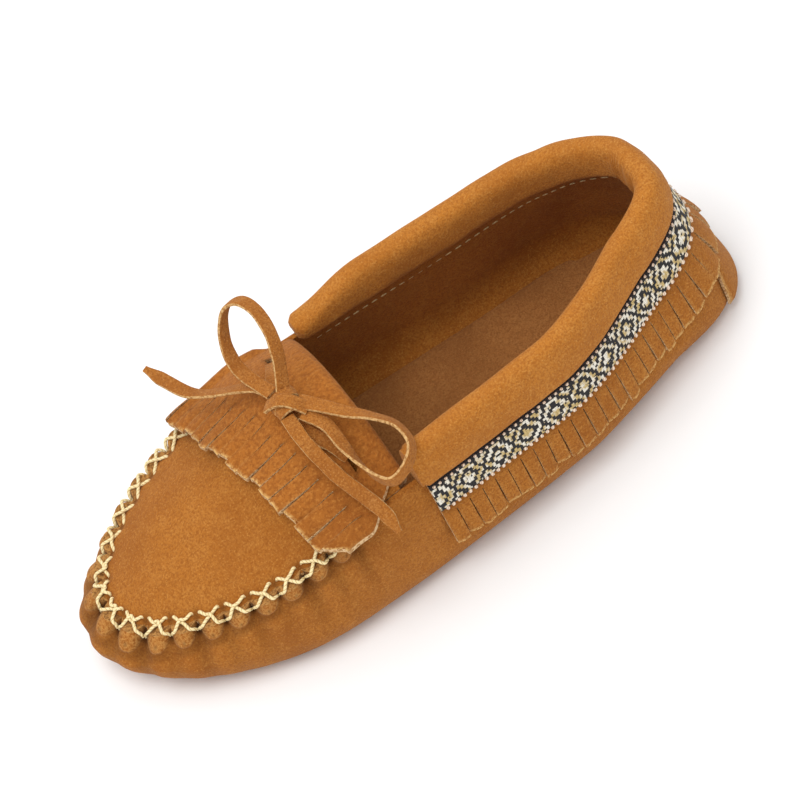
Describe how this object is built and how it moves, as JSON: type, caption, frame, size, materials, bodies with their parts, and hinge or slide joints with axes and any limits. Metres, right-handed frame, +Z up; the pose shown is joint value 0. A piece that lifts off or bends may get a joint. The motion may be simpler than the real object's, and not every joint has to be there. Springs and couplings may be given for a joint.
{
  "type": "moccasin",
  "caption": "Left soft-soled suede moccasin with a crossed thread toe seam, fringed flap and bow, padded collar, woven braid and cut side fringe.",
  "frame": {"origin": "middle of the flat sole, on the floor", "axes": "+X to the toe, +Y to the wearer's left, +Z up"},
  "size_m": [0.2342, 0.0938, 0.0895],
  "materials": {
    "suede": "brushed suede",
    "flap_suede": "rough suede, cut edges paler",
    "lace_suede": "flat suede thong",
    "sock_leather": "smooth, worn dull",
    "foam": "open-cell foam",
    "thread": "waxed cord",
    "braid": "woven ribbon, cream and black",
    "braid_thread": "sewing thread"
  },
  "bodies": {
    "shoe": {"vamp_and_sole": "suede", "apron": "suede", "heel_tab": "suede", "side_fringe": "suede", "collar_cover": "suede", "flap_back": "flap_suede", "insole_foam": "foam", "insole_sock": "sock_leather", "collar_foam": "foam", "braid_trim": "braid", "seam_thread_lower": "thread", "seam_thread_upper": "thread", "braid_stitch_upper": "braid_thread", "braid_stitch_lower": "braid_thread", "collar_stitch": "thread", "lace_knot": "lace_suede", "lace_loop_right": "lace_suede", "lace_loop_left": "lace_suede", "lace_tail_right": "lace_suede", "lace_tail_left": "lace_suede", "lace_run_left": "lace_suede", "lace_run_right": "lace_suede", "lace_run_under": "lace_suede"},
    "flap": {"flap_fringe": "flap_suede"}
  },
  "joints": [
    {"name": "flap_lift", "type": "hinge", "parent": "shoe", "child": "flap", "pos_m": [0.0285, 0, 0.0621], "axis": [0, -1, 0], "range_deg": [0, 25]}
  ]
}
